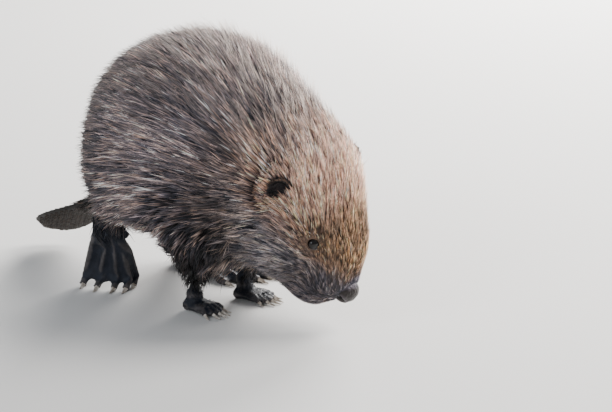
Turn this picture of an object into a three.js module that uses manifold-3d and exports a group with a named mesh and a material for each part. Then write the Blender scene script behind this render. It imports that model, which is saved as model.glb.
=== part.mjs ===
// A young beaver, life size, walking with its rump high, its head down and its right hind foot
// about to leave the ground. Millimetres, +Z up, floor at z = 0, beaver facing +X, its left side at +Y.
//
// The solids follow the outline of the coat, out to the tips of the hair. The furred body is one smooth
// field of blended eggs and limbs. It is meshed region by region, finest on the head, and each region is
// trimmed to its own cutter, so that trunk, neck, head and legs are separate solids that meet face to face.
// Feet, tail and claws are tubes along curves, ears are cupped discs, and eyes and nose sit in sockets.
// At the end the whole model is moved so that the origin is on the floor, under the middle of its box.
import * as THREE from 'three';
import { mergeVertices } from 'three/addons/utils/BufferGeometryUtils.js';
import Module from 'manifold-3d';

const wasm = await Module();
wasm.setup();

// ---------- driving dimensions ----------
const GAP = 0.3;                       // between solids that meet
const WELD = 0.01;
const BACK_HEIGHT = 236;               // floor to the top of the coat on the back
const HEAD_PITCH = 53;                 // degrees, nose down
const HEAD_YAW = 14;                   // degrees, towards the left
const HEAD_AT = [166, 13, 83];         // the head's own origin, between the eyes and the ears
const EYE_RADIUS = 5;
const EAR_LENGTH = 25;
const EAR_WIDTH = 19;
const NOSE_WIDTH = 21;
const TAIL_ROOT = [-72, -1, 62];       // where the scales begin
const TAIL_TIP = [-166, -4, 16];
const TAIL_WIDTH = 56;
const TAIL_THICK = 12;
const HIND_CLAW = 11;                  // claw lengths
const FORE_CLAW = 10;
const TRUNK_STEP = 18.8;               // grid steps of the meshed field, finer where the form is finer
const LEG_STEP = 13.4;
const HEAD_STEP = 9.8;

const rad = THREE.MathUtils.degToRad;
const lerp = THREE.MathUtils.lerp;
const vec = ([x, y, z]) => new THREE.Vector3(x, y, z);

// ---------- fields: negative inside, in millimetres near the surface ----------
const smoothMin = (a, b, soft) => {
  const near = Math.max(soft - Math.abs(a - b), 0) / soft;
  return Math.min(a, b) - near * near * soft * 0.25;
};

// An egg with its own centre, half-sizes and nose-down tilt about Y.
function egg([cx, cy, cz], [rx, ry, rz], tilt = 0) {
  const c = Math.cos(rad(tilt));
  const s = Math.sin(rad(tilt));
  return (x, y, z) => {
    const dx = x - cx;
    const dz = z - cz;
    const px = (c * dx - s * dz) / rx;
    const py = (y - cy) / ry;
    const pz = (s * dx + c * dz) / rz;
    const k = Math.hypot(px, py, pz);
    const g = Math.hypot(px / rx, py / ry, pz / rz);
    return g < 1e-9 ? -Math.min(rx, ry, rz) : (k * (k - 1)) / g;
  };
}

// A limb from a to b whose radius runs from ra to rb.
function limb([ax, ay, az], [bx, by, bz], ra, rb) {
  const vx = bx - ax;
  const vy = by - ay;
  const vz = bz - az;
  const vv = vx * vx + vy * vy + vz * vz;
  return (x, y, z) => {
    const along = ((x - ax) * vx + (y - ay) * vy + (z - az) * vz) / vv;
    const t = Math.min(1, Math.max(0, along));
    return Math.hypot(x - ax - t * vx, y - ay - t * vy, z - az - t * vz) - (ra + (rb - ra) * t);
  };
}

const blended = (soft, fields) => (x, y, z) =>
  fields.reduce((d, field) => smoothMin(d, field(x, y, z), soft), 1e3);

const both = (list) => list.flatMap(([[x, y, z], radii, tilt]) => [
  egg([x, y, z], radii, tilt),
  egg([x, -y, z], radii, tilt),
]);

// ---------- head, in its own frame: x forward, y left, z up ----------
const headFrame = new THREE.Matrix4()
  .makeTranslation(...HEAD_AT)
  .multiply(new THREE.Matrix4().makeRotationZ(rad(HEAD_YAW)))
  .multiply(new THREE.Matrix4().makeRotationY(rad(HEAD_PITCH)));
const headInverse = headFrame.clone().invert().elements;

function inHead(field) {
  const e = headInverse;
  return (x, y, z) => field(
    e[0] * x + e[4] * y + e[8] * z + e[12],
    e[1] * x + e[5] * y + e[9] * z + e[13],
    e[2] * x + e[6] * y + e[10] * z + e[14],
  );
}

const headLocal = blended(12, [
  egg([-26, 0, 10], [52, 50, 44]),                 // cranium and nape
  egg([8, 0, 14], [42, 39, 32]),                   // forehead
  egg([35, 0, 0], [28, 25, 22]),                   // bridge and muzzle
  egg([44, 0, -7], [14, 22, 17]),                  // upper lips
  egg([25, 0, -27], [33, 24, 19]),                 // chin and lower jaw
  ...both([
    [[-4, 26, -12], [34, 24, 28]],                 // cheeks
    [[38, 12, -11], [18, 13, 15]],                 // whisker pads
  ]),
]);

// ---------- trunk, neck and legs ----------
const trunkField = blended(30, [
  egg([14, 0, 144], [79, 78, 80], -10),            // rump
  egg([58, 2, 146], [84, 86, BACK_HEIGHT - 146], 10), // loin, the top of the back
  egg([70, 0, 104], [74, 78, 54], 24),             // belly
  egg([110, 6, 124], [66, 70, 78], 24),            // chest and shoulders
  egg([146, 10, 116], [52, 58, 60], 34),           // neck
  limb([-30, 0, 88], TAIL_ROOT, 34, 17),           // haired root of the tail
]);

const legFields = [
  egg([8, -50, 118], [50, 34, 50], -10),           // right haunch
  limb([6, -56, 110], [-10, -60, 86], 26, 14),
  egg([22, 52, 96], [54, 34, 54], 8),              // left haunch
  limb([0, 54, 66], [-28, 51, 26], 22, 14),
  egg([92, -46, 92], [40, 26, 52]),                // right shoulder
  limb([84, -42, 74], [73, -33, 28], 23, 13),
  egg([98, 48, 92], [40, 26, 52]),                 // left shoulder
  limb([92, 36, 74], [80, 22, 28], 23, 13),
];

const headField = inHead(headLocal);
const bodyField = (x, y, z) => {
  let d = trunkField(x, y, z);
  for (const field of legFields) d = smoothMin(d, field(x, y, z), 18);
  return smoothMin(d, headField(x, y, z), 26);
};

// ---------- meshing a field ----------
// Surface nets: one vertex in each grid cell that the surface crosses, one quad across each crossed edge.
// The grid's own walls count as outside, so the mesh is closed there, and its vertices are then settled
// onto the field.
function meshField(field, low, high, step) {
  const n = low.map((l, i) => Math.ceil((high[i] - l) / step) + 1);
  const at = (i, j, k) => (k * n[1] + j) * n[0] + i;
  const value = new Float32Array(n[0] * n[1] * n[2]);
  for (let k = 0; k < n[2]; k++)
    for (let j = 0; j < n[1]; j++)
      for (let i = 0; i < n[0]; i++) {
        const edge = i === 0 || j === 0 || k === 0 || i === n[0] - 1 || j === n[1] - 1 || k === n[2] - 1;
        const d = field(low[0] + i * step, low[1] + j * step, low[2] + k * step);
        value[at(i, j, k)] = edge ? Math.max(d, step * 0.3) : d;
      }
  const corners = [0, 1, 2, 3, 4, 5, 6, 7].map((c) => [c & 1, (c >> 1) & 1, c >> 2]);
  const edges = corners.flatMap((a, p) => corners.map((b, q) => [p, q])
    .filter(([p, q]) => p < q && [1, 2, 4].includes(p ^ q)));
  const points = [];
  const vertexOf = new Map();
  for (let k = 0; k < n[2] - 1; k++)
    for (let j = 0; j < n[1] - 1; j++)
      for (let i = 0; i < n[0] - 1; i++) {
        const v = corners.map(([a, b, c]) => value[at(i + a, j + b, k + c)]);
        if (v.every((d) => d < 0) || v.every((d) => d >= 0)) continue;
        const sum = [0, 0, 0];
        let count = 0;
        for (const [p, q] of edges) {
          if (v[p] < 0 === v[q] < 0) continue;
          const t = v[p] / (v[p] - v[q]);
          for (let axis = 0; axis < 3; axis++)
            sum[axis] += corners[p][axis] + t * (corners[q][axis] - corners[p][axis]);
          count++;
        }
        const inner = i > 0 && j > 0 && k > 0 && i < n[0] - 2 && j < n[1] - 2 && k < n[2] - 2;
        const found = sum.map((s, axis) => low[axis] + ([i, j, k][axis] + s / count) * step);
        vertexOf.set(at(i, j, k), points.length / 3);
        points.push(...(inner ? settled(field, found) : found));
      }
  const faces = [];
  const strides = [1, n[0], n[0] * n[1]];
  for (let k = 0; k < n[2] - 1; k++)
    for (let j = 0; j < n[1] - 1; j++)
      for (let i = 0; i < n[0] - 1; i++) {
        const here = at(i, j, k);
        for (let axis = 0; axis < 3; axis++) {
          const inside = value[here] < 0;
          if ([i, j, k].some((index, other) => other !== axis && index === 0)) continue;
          if (inside === value[here + strides[axis]] < 0) continue;
          const u = strides[(axis + 1) % 3];
          const w = strides[(axis + 2) % 3];
          const quad = [here - u - w, here - w, here, here - u].map((c) => vertexOf.get(c));
          if (!inside) quad.reverse();
          faces.push(quad[0], quad[1], quad[2], quad[0], quad[2], quad[3]);
        }
      }
  return new wasm.Manifold(new wasm.Mesh({
    numProp: 3,
    vertProperties: new Float32Array(points),
    triVerts: new Uint32Array(faces),
  }));
}

function slope(field, [x, y, z], h = 0.5) {
  return [
    (field(x + h, y, z) - field(x - h, y, z)) / (2 * h),
    (field(x, y + h, z) - field(x, y - h, z)) / (2 * h),
    (field(x, y, z + h) - field(x, y, z - h)) / (2 * h),
  ];
}

function settled(field, start, rounds = 2) {
  let point = start;
  for (let round = 0; round < rounds; round++) {
    const d = field(...point);
    const g = slope(field, point);
    const size = g[0] * g[0] + g[1] * g[1] + g[2] * g[2];
    point = point.map((p, axis) => p - (0.9 * d * g[axis]) / size);
  }
  return point;
}

// ---------- solids ----------
function solidOf(geometry, matrix) {
  const bare = geometry.clone();
  bare.deleteAttribute('normal');
  bare.deleteAttribute('uv');
  if (matrix) bare.applyMatrix4(matrix);
  const merged = mergeVertices(bare, 1e-4);
  return new wasm.Manifold(new wasm.Mesh({
    numProp: 3,
    vertProperties: merged.attributes.position.array,
    triVerts: new Uint32Array(merged.index.array),
  }));
}

// The solid's triangles, with the slivers that cuts leave closed up: vertices under WELD apart become one,
// and faces that this folds flat, singly or back to back, are dropped.
function geometryOf(solid) {
  const mesh = solid.getMesh();
  const geometry = new THREE.BufferGeometry();
  geometry.setAttribute('position', new THREE.BufferAttribute(mesh.vertProperties, 3));
  geometry.setIndex(new THREE.BufferAttribute(mesh.triVerts, 1));
  const welded = mergeVertices(geometry, WELD);
  const faces = new Map();
  for (let i = 0; i < welded.index.count; i += 3) {
    const corners = [0, 1, 2].map((c) => welded.index.getX(i + c));
    if (new Set(corners).size < 3) continue;
    const key = [...corners].sort((a, b) => a - b).join();
    if (faces.has(key)) faces.delete(key);
    else faces.set(key, corners);
  }
  welded.setIndex([...faces.values()].flat());
  welded.computeVertexNormals();
  return welded;
}

const union = (solids) => solids.reduce((all, solid) => all.add(solid));
const largest = (solid) => solid.decompose().reduce((a, b) => (b.volume() > a.volume() ? b : a));
const without = (solid, cutters) => cutters.reduce((rest, cutter) => rest.subtract(cutter), solid);

// A block between two corners.
function block(low, high, matrix) {
  const size = high.map((h, axis) => h - low[axis]);
  const geometry = new THREE.BoxGeometry(...size);
  geometry.translate(...high.map((h, axis) => (h + low[axis]) / 2));
  return solidOf(geometry, matrix);
}

// A disc across the body, round in the side view, from y0 to y1.
function sideDisc([x, z], radius, y0, y1) {
  const geometry = new THREE.CylinderGeometry(radius, radius, y1 - y0, 14);
  geometry.translate(x, (y0 + y1) / 2, z);
  return solidOf(geometry);
}

// A tube along a curve, bent from a cylinder. half(t) gives the section's half-width and half-height,
// top is the way its back faces, and roll(t) turns the section about the curve, in degrees.
function tube(curve, half, top, sides, steps, roll = () => 0) {
  const geometry = new THREE.CylinderGeometry(1, 1, 1, sides, steps);
  const place = geometry.attributes.position;
  const point = new THREE.Vector3();
  for (let i = 0; i < place.count; i++) {
    const t = Math.min(1, Math.max(0, place.getY(i) + 0.5));
    const along = curve.getTangent(t);
    const side = new THREE.Vector3().crossVectors(along, vec(top)).normalize();
    const back = new THREE.Vector3().crossVectors(side, along);
    side.applyAxisAngle(along, rad(roll(t)));
    back.applyAxisAngle(along, rad(roll(t)));
    const [wide, high] = half(t);
    point.copy(curve.getPoint(t))
      .addScaledVector(side, wide * place.getX(i))
      .addScaledVector(back, high * place.getZ(i));
    place.setXYZ(i, point.x, point.y, point.z);
  }
  return solidOf(geometry);
}

const curveOf = (...points) => new THREE.CatmullRomCurve3(points.map(vec), false, 'centripetal');
const floorCut = block([-400, -400, -100], [400, 400, 0]);

const beaver = new THREE.Group();
function addNode(name, solid, look) {
  const mesh = new THREE.Mesh(geometryOf(solid), look);
  mesh.name = name;
  beaver.add(mesh);
}

const look = (color, roughness) => new THREE.MeshStandardMaterial({ color, roughness });
const backFur = look(0x6b625c, 0.9);
const headFur = look(0x8a6f5a, 0.9);
const darkFur = look(0x4c443f, 0.9);
const footSkin = look(0x2b2f38, 0.6);
const tailSkin = look(0x463c39, 0.55);
const clawHorn = look(0x9a8f84, 0.45);
const noseSkin = look(0x26242a, 0.4);
const eyeBlack = look(0x050608, 0.08);

// ---------- cutters: each is called with 0 for its own region, and with GAP for its neighbours ----------
// The head's cutter leaves out the nape behind the ears and the throat behind the jaw.
function headCutter(grow) {
  const profile = new THREE.Shape([[-74, 60], [-28.5, -49], [90, -49], [90, 90], [-74, 90]]
    .map(([x, z]) => new THREE.Vector2(x, z)));
  const halfWidth = 56;
  const geometry = new THREE.ExtrudeGeometry(profile, { depth: 2 * halfWidth, bevelEnabled: false });
  geometry.translate(0, 0, -halfWidth);
  geometry.rotateX(Math.PI / 2);
  const solid = solidOf(geometry, headFrame);
  if (grow === 0) return solid;
  const shifts = [[-1, 0, 0], [0, -1, 0], [0, 1, 0], [0, 0, -1]];
  return union([solid, ...shifts.map((s) => solidOf(geometry, headFrame.clone()
    .multiply(new THREE.Matrix4().makeTranslation(...s.map((v) => v * grow * 1.1)))))]);
}

const neckPlane = new THREE.Matrix4().makeTranslation(126, 5, 140)
  .multiply(new THREE.Matrix4().makeRotationZ(rad(6)))
  .multiply(new THREE.Matrix4().makeRotationY(rad(10)));
const neckCutter = (grow) => block([-grow, -200, -200], [200, 200, 200], neckPlane);
const tailAxis = vec(TAIL_TIP).sub(vec(TAIL_ROOT)).normalize();
const tailPlane = new THREE.Matrix4()
  .makeTranslation(...TAIL_ROOT)
  .multiply(new THREE.Matrix4().makeRotationFromQuaternion(
    new THREE.Quaternion().setFromUnitVectors(new THREE.Vector3(1, 0, 0), tailAxis)));
const tailCutter = block([0, -80, -80], [80, 80, 80], tailPlane);

const legCutters = {
  hindleg_right: (g) => sideDisc([2, 112], 53 + g, -140, -40 + g),
  hindleg_left: (g) => union([
    sideDisc([14, 94], 52 + g, 42 - g, 140),
    block([-57 - g, 25 - g, -10], [23 + g, 84, 51 + g]),
  ]),
  foreleg_right: (g) => union([
    sideDisc([95, 88], 39 + g, -120, -36 + g),
    block([52 - g, -80, -10], [104 + g, -10 + g, 54 + g]),
  ]),
  foreleg_left: (g) => union([
    sideDisc([104, 86], 37 + g, 36 - g, 120),
    block([58 - g, 0 - g, -10], [108 + g, 80, 58 + g]),
  ]),
};
const legBoxes = {
  hindleg_right: [[-70, -110, 30], [80, -20, 190]],
  hindleg_left: [[-60, 10, 0], [95, 110, 170]],
  foreleg_right: [[20, -100, 0], [150, 10, 150]],
  foreleg_left: [[20, -20, 0], [150, 110, 150]],
};

// ---------- feet ----------
// One toe: from inside the foot, over the knuckle, to a blunt end that its claw meets.
const toe = (points, root, end, top) => tube(curveOf(...points),
  (t) => [lerp(root, end, t), lerp(root, end, t)], top, 5, points.length - 1);

// The skin between two toes: a thin sheet, its free edge hollow.
function web(a, b, from, to, thick, top) {
  const geometry = new THREE.BoxGeometry(1, 1, 1, 2, 1, 2);
  const place = geometry.attributes.position;
  const curves = [curveOf(...a), curveOf(...b)];
  const up = vec(top).multiplyScalar(thick);
  for (let i = 0; i < place.count; i++) {
    const u = place.getX(i) + 0.5;
    const t = from + (place.getZ(i) + 0.5) * (to - from) * (1 - 0.14 * (1 - (2 * u - 1) ** 2));
    const point = curves[0].getPoint(t).lerp(curves[1].getPoint(t), u).addScaledVector(up, place.getY(i));
    place.setXYZ(i, point.x, point.y, point.z);
  }
  const solid = solidOf(geometry);
  return solid.volume() > 0 ? solid : solidOf(flipped(geometry));
}

function flipped(geometry) {
  const index = geometry.index.array;
  for (let i = 0; i < index.length; i += 3) [index[i], index[i + 1]] = [index[i + 1], index[i]];
  return geometry;
}

// A claw on the end of a toe, leaving it squarely and curving down to its point.
function claw(points, length, thick) {
  const curve = curveOf(...points);
  const out = curve.getTangent(1);
  const base = curve.getPoint(1).addScaledVector(out, GAP);
  const mid = base.clone().addScaledVector(out, length * 0.4);
  const tip = mid.clone().addScaledVector(out, length * 0.6);
  tip.z = Math.max(0.8, mid.z - length * 0.2);
  const bend = new THREE.QuadraticBezierCurve3(base, mid, tip);
  const half = (t) => [thick * (1 - 0.85 * t), thick * (1 - 0.8 * t)];
  return tube(bend, half, [0, 0, 1], 4, 2).subtract(floorCut);
}

// Right hind foot, up on its toes: knuckle, bend and end of each toe, from the outer toe to the inner.
const rightHind = {
  ankle: [[-8, -61, 92], [-16, -60, 74], [-17, -45, 45]],
  top: [0.49, -0.79, 0.2],
  toes: [
    [[-24, -57, 60], [-38, -53, 40], [-49, -53, 8], [-45, -60, 2.4]],
    [[-18, -55, 62], [-25, -49, 40], [-34, -49, 8], [-30, -57, 2.4]],
    [[-14, -53, 62], [-18, -46, 40], [-21, -41, 8], [-17, -49, 2.4]],
    [[-11, -51, 62], [-14, -41, 38], [-13, -34, 8], [-9, -42, 2.4]],
    [[-9, -50, 60], [-12, -35, 34], [-18, -22, 8], [-13, -29, 2.4]],
  ],
};
// Left hind foot, flat on the floor under the belly.
const leftToes = [-2, -1, 0, 1, 2].map((i) => {
  const at = (x, spread, z) => [x - 24, 52 + spread * i + 0.1 * x, z];
  const reach = 78 - 2.4 * (i - 0.4) ** 2;
  return [at(-4, 3, 11), at(38, 7.6, 9), at(reach - 10, 12, 3.6), at(reach, 12.6, 2.4)];
}).reverse();
const leftHind = {
  ankle: [[-42, 50, 10], [-20, 51, 9], [6, 54, 7]],
  top: [0, 0, 1],
  toes: leftToes,
  seat: block([-100, 0, -10], [100, 120, 18.6 + GAP]), // the haired leg stands on the flat foot
};

function hindFoot({ ankle, top, toes }, grow = 0) {
  const half = (t) => [lerp(8, 19, t * t) + grow, lerp(8.5, 5, t) + grow];
  const shank = tube(curveOf(...ankle), half, top, 8, 3);
  if (grow > 0) return shank;
  const parts = toes.map((points) => toe(points, 4.6, 3.6, top));
  for (let i = 0; i < 4; i++) parts.push(web(toes[i], toes[i + 1], 0.2, 0.86, 2.6, top));
  return largest(union([shank, ...parts]).subtract(floorCut));
}

// Fore paws: a short palm and five slender toes. heading is where the toes point, in degrees from +X.
function forePaw([x, y], heading) {
  const matrix = new THREE.Matrix4().makeTranslation(x, y, 0)
    .multiply(new THREE.Matrix4().makeRotationZ(rad(heading)));
  const at = (...p) => vec(p).applyMatrix4(matrix).toArray();
  const toes = [-2, -1, 0, 1, 2].map((i) => {
    const reach = 24 - 1.5 * i * i;
    return [at(4, 3 * i, 7), at(14, 4.6 * i, 6), at(reach, 5.4 * i, 2.9)];
  });
  const wrist = [at(-5, 0, 38), at(-5, 0, 20), at(-3, 0, 6)];
  const palm = [at(-11, 0, 5), at(2, 0, 5.4), at(12, 0, 5)];
  return { wrist, palm, toes };
}

function foreFoot({ wrist, palm, toes }, grow = 0) {
  const stem = tube(curveOf(...wrist), () => [8 + grow, 7.4 + grow], [1, 0, 0], 8, 2);
  if (grow > 0) return stem;
  const sole = tube(curveOf(...palm), (t) => [9 + 4 * t, 6.4 - 1.4 * t], [0, 0, 1], 8, 2);
  const parts = toes.map((points) => toe(points, 3.4, 2.7, [0, 0, 1]));
  return largest(union([stem, sole, ...parts]).subtract(floorCut));
}

const rightFore = forePaw([76, -33], 4);
const leftFore = forePaw([82, 21], 12);

const feet = {
  hindleg_right: { name: 'hindfoot_right', claws: 'claw_hind_right', build: hindFoot, plan: rightHind },
  hindleg_left: { name: 'hindfoot_left', claws: 'claw_hind_left', build: hindFoot, plan: leftHind },
  foreleg_right: { name: 'forepaw_right', claws: 'claw_fore_right', build: foreFoot, plan: rightFore },
  foreleg_left: { name: 'forepaw_left', claws: 'claw_fore_left', build: foreFoot, plan: leftFore },
};

// ---------- trunk, neck and legs ----------
const grownHead = headCutter(GAP);
const grownLegs = Object.values(legCutters).map((cutter) => cutter(GAP));
const body = meshField(bodyField, [-110, -120, -6], [230, 120, 262], TRUNK_STEP);

addNode('trunk', without(body, [neckCutter(GAP), grownHead, ...grownLegs, tailCutter]), backFur);

for (const [name, cutter] of Object.entries(legCutters)) {
  const { name: foot, claws, build, plan } = feet[name];
  const region = meshField(bodyField, ...legBoxes[name], LEG_STEP);
  const socket = plan.seat ?? build(plan, GAP);
  addNode(name, without(region.intersect(cutter(0)), [grownHead, socket]), darkFur);
  addNode(foot, build(plan), footSkin);
  const hind = build === hindFoot;
  plan.toes.forEach((points, i) => {
    addNode(`${claws}_${i + 1}`, claw(points, hind ? HIND_CLAW : FORE_CLAW, hind ? 2.6 : 1.9), clawHorn);
  });
}

// ---------- eyes, ears and nose, in the head's frame ----------
const aroundHead = (x, y, z) => bodyField(...new THREE.Vector3(x, y, z).applyMatrix4(headFrame).toArray());

// The point where a ray from inside the head leaves the coat.
function onHead(from, direction) {
  const way = vec(direction).normalize();
  let near = 0;
  let far = 90;
  for (let round = 0; round < 30; round++) {
    const mid = (near + far) / 2;
    const p = vec(from).addScaledVector(way, mid);
    if (aroundHead(p.x, p.y, p.z) < 0) near = mid;
    else far = mid;
  }
  return vec(from).addScaledVector(way, near);
}

const ball = (center, radii, sides, rings) => {
  const geometry = new THREE.SphereGeometry(1, sides, rings);
  geometry.rotateX(Math.PI / 2);
  geometry.scale(...radii);
  geometry.translate(...center);
  return solidOf(geometry, headFrame);
};

// A round ear, its hollow side forwards: the right one stands up and out, the left one lies back.
const RIGHT_EAR_WAY = [-0.72, -0.5, 0.5];
const LEFT_EAR_WAY = [-0.84, 0.36, 0.2];
function ear(side, grow) {
  const geometry = new THREE.SphereGeometry(1, 10, 6);
  const thick = 2 + grow;
  const place = geometry.attributes.position;
  for (let i = 0; i < place.count; i++) {
    const [x, y, z] = [place.getX(i), place.getY(i), place.getZ(i)];
    const cup = 5.5 * (x * x + z * z);
    place.setXYZ(i, x * (EAR_WIDTH / 2 + grow), y * thick + cup, z * (EAR_LENGTH / 2 + grow));
  }
  const along = vec(side > 0 ? LEFT_EAR_WAY : RIGHT_EAR_WAY).normalize();
  const across = new THREE.Vector3().crossVectors(vec([0.8, 0.6 * side, 0]), along).normalize();
  const facing = new THREE.Vector3().crossVectors(along, across);
  const root = onHead([-41, 0, 17], [0.02, side, 0.34]).addScaledVector(along, -2.5);
  geometry.applyMatrix4(new THREE.Matrix4().makeBasis(across, facing, along).setPosition(root));
  return solidOf(geometry, headFrame);
}

const eyeCenters = [-1, 1].map((side) => {
  const skin = onHead([13, 0, 16], [0.05, side, 0.16]);
  return [skin.x - 0.4, skin.y - side * (EYE_RADIUS - 2), skin.z - 0.4];
});
const noseTip = onHead([25, 0, -2], [1, 0, 0]);
const noseCenter = [noseTip.x - 3.8, 0, noseTip.z + 1.8];
const noseHalf = [10, NOSE_WIDTH / 2, 8.8];
const nostrils = union([-1, 1].map((side) => ball(
  [noseCenter[0] + 2, side * 9.4, noseCenter[2] - 3.2], [4.2, 3.2, 3.4], 8, 6)));

const earSlots = [ear(-1, 3 * GAP), ear(1, 3 * GAP)];
addNode('neck', without(body.intersect(neckCutter(0)), [grownHead, ...grownLegs, ...earSlots]), headFur);
const headMesh = meshField(aroundHead, [-82, -66.2, -60], [82, 66.2, 72], HEAD_STEP)
  .transform(headFrame.elements);
addNode('head', without(headMesh.intersect(headCutter(0)), [
  ...eyeCenters.map((center) => ball(center, [1, 1, 1].map(() => EYE_RADIUS + GAP), 10, 8)),
  ...earSlots,
  ball(noseCenter, noseHalf.map((h) => h + GAP), 12, 8),
]), headFur);
['right', 'left'].forEach((side, i) => {
  addNode(`eye_${side}`, ball(eyeCenters[i], [EYE_RADIUS, EYE_RADIUS, EYE_RADIUS], 10, 8), eyeBlack);
  addNode(`ear_${side}`, ear(i * 2 - 1, 0), darkFur);
});
addNode('nose', ball(noseCenter, noseHalf, 12, 8).subtract(nostrils), noseSkin);

// ---------- tail: haired at the root, then a flat scaly paddle, its near edge held lower ----------
const alongTail = (distance) => vec(TAIL_ROOT).addScaledVector(tailAxis, distance).toArray();
const tailHalf = (t) => {
  const spread = Math.sin(Math.PI * Math.min(1, 0.22 + t * 0.34)) ** 1.2;
  const end = Math.sqrt(Math.max(0, 1 - Math.max(0, (t - 0.62) / 0.38) ** 2.4));
  const wide = lerp(15, TAIL_WIDTH / 2, Math.min(1, spread)) * Math.max(0.12, end);
  const high = lerp(14, TAIL_THICK / 2, Math.min(1, t * 3)) * lerp(1, 0.55, t) * Math.max(0.3, end);
  return [wide, high];
};
addNode('tail', tube(curveOf(alongTail(GAP), alongTail(50), TAIL_TIP), tailHalf, [0, 0, 1], 12, 10,
  (t) => 10 + 22 * t), tailSkin);

// ---------- origin on the floor, under the middle of the box ----------
const box = new THREE.Box3().setFromObject(beaver);
const middle = box.getCenter(new THREE.Vector3());
beaver.position.set(-middle.x, -middle.y, 0);

export default beaver;
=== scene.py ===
import math

import bmesh
import bpy
import numpy as np
from mathutils import Matrix, Vector, bvhtree, kdtree


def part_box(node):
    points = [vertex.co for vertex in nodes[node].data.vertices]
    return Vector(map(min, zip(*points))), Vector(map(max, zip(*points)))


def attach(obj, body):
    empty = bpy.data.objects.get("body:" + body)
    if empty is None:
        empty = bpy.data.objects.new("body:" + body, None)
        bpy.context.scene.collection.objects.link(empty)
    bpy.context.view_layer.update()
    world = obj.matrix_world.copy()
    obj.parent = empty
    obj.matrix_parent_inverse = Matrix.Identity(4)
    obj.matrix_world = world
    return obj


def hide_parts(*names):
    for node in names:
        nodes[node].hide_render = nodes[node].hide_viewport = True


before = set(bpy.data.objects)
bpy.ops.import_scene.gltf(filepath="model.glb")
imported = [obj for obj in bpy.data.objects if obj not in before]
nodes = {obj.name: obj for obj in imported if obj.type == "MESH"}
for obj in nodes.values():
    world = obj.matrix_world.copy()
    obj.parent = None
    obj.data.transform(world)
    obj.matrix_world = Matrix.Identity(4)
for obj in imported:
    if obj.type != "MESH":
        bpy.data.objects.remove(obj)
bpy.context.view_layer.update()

# ---------------------------------------------------------------- camera
# A long lens from the animal's right front quarter, a little above its back.
VIEW_BACK = Vector((0.71436, -0.64321, 0.27564))
VIEW_RIGHT = Vector((0.66913, 0.74314, 0.0))
VIEW_UP = Vector((-0.2048, 0.1844, 0.9613))
BODY_MIDDLE = Vector((0.00465, -0.00054, 0.1))
VIEW_DISTANCE = 2.8
camera_data = bpy.data.cameras.new("camera")
camera_data.sensor_width = 36
camera_data.lens = 189.3
camera = bpy.data.objects.new("camera", camera_data)
bpy.context.scene.collection.objects.link(camera)
camera.location = BODY_MIDDLE + VIEW_BACK * VIEW_DISTANCE
aim = BODY_MIDDLE + VIEW_RIGHT * 0.1009 - VIEW_UP * 0.0226
camera.rotation_euler = (aim - camera.location).to_track_quat("-Z", "Y").to_euler()
bpy.context.scene.camera = camera

# ---------------------------------------------------------------- the hide
# The hide is one closed skin over trunk, neck, head, legs, feet, ears and tail.
# It lies under the coat by the coat's depth, and bare where feet and tail are bare.
COAT_DEPTH = {
    "trunk": 15.0, "neck": 13.0, "head": 6.0,
    "hindleg_right": 9.0, "hindleg_left": 9.0, "foreleg_right": 7.0, "foreleg_left": 7.0,
    "hindfoot_right": 0.4, "hindfoot_left": 0.4, "forepaw_right": 0.4, "forepaw_left": 0.4,
    "ear_right": 0.8, "ear_left": 0.8, "tail": 0.9,
}
FLESH = list(COAT_DEPTH)
EAR_SKIN = [FLESH.index("ear_right"), FLESH.index("ear_left")]
FEET = [FLESH.index(k) for k in FLESH if "foot" in k or "paw" in k]
LONG_HAIRED = [FLESH.index(k) for k in ("trunk", "neck", "head")]
HIDE_GRID = 0.0017
HIDE_TRIANGLES = 165_000
FLOOR_GAP = 0.0001
MM = 0.001
HEAD = np.array((0.14065, 0.01246, 0.083))
HEAD_FORWARD = np.array((0.584, 0.146, -0.799))
HEAD_LEFT = np.array((-0.242, 0.970, 0.0))
HEAD_UP = np.array((0.775, 0.193, 0.602))
EYES = [(np.array(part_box(f"eye_{side}")[0]) + np.array(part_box(f"eye_{side}")[1])) / 2
        for side in ("right", "left")]
EARS = [(np.array(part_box(f"ear_{side}")[0]) + np.array(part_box(f"ear_{side}")[1])) / 2
        for side in ("right", "left")]
NOSE = (np.array(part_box("nose")[0]) + np.array(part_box("nose")[1])) / 2
NOSE_PAD_HALF = (9, 12, 9)


def merged_copy(names, swell=0.0):
    """One bmesh of the named solids, joined at their edges and swollen a little."""
    whole = bmesh.new()
    for name in names:
        part = bmesh.new()
        part.from_mesh(nodes[name].data)
        bmesh.ops.remove_doubles(part, verts=part.verts, dist=1e-5)
        part.normal_update()
        for vert in part.verts:
            vert.co += vert.normal * swell
        piece = bpy.data.meshes.new(name)
        part.to_mesh(piece)
        whole.from_mesh(piece)
        part.free()
        bpy.data.meshes.remove(piece)
    return whole


def shown(name, data):
    """A finished piece at the origin, riding on the one body."""
    piece = bpy.data.objects.new(name, data)
    bpy.context.scene.collection.objects.link(piece)
    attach(piece, "root")
    return piece


def modified(data, kind, **settings):
    """The mesh after one modifier, applied."""
    holder = bpy.data.objects.new("work", data)
    bpy.context.scene.collection.objects.link(holder)
    change = holder.modifiers.new("change", kind)
    for key, value in settings.items():
        setattr(change, key, value)
    ready = holder.evaluated_get(bpy.context.evaluated_depsgraph_get())
    result = bpy.data.meshes.new_from_object(ready)
    bpy.data.objects.remove(holder)
    return result


def points_of(data, key="co"):
    """The vertices' places, or their normals, as rows."""
    values = np.empty(len(data.vertices) * 3)
    data.vertices.foreach_get(key, values)
    return values.reshape(-1, 3)


def edge_ends(data):
    """The two vertices of each edge."""
    ends = np.empty(len(data.edges) * 2, int)
    data.edges.foreach_get("vertices", ends)
    return ends.reshape(-1, 2)


def search_tree(spots):
    """A tree that finds the nearest of some places."""
    made = kdtree.KDTree(len(spots))
    for i, spot in enumerate(spots):
        made.insert(spot, i)
    made.balance()
    return made


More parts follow.
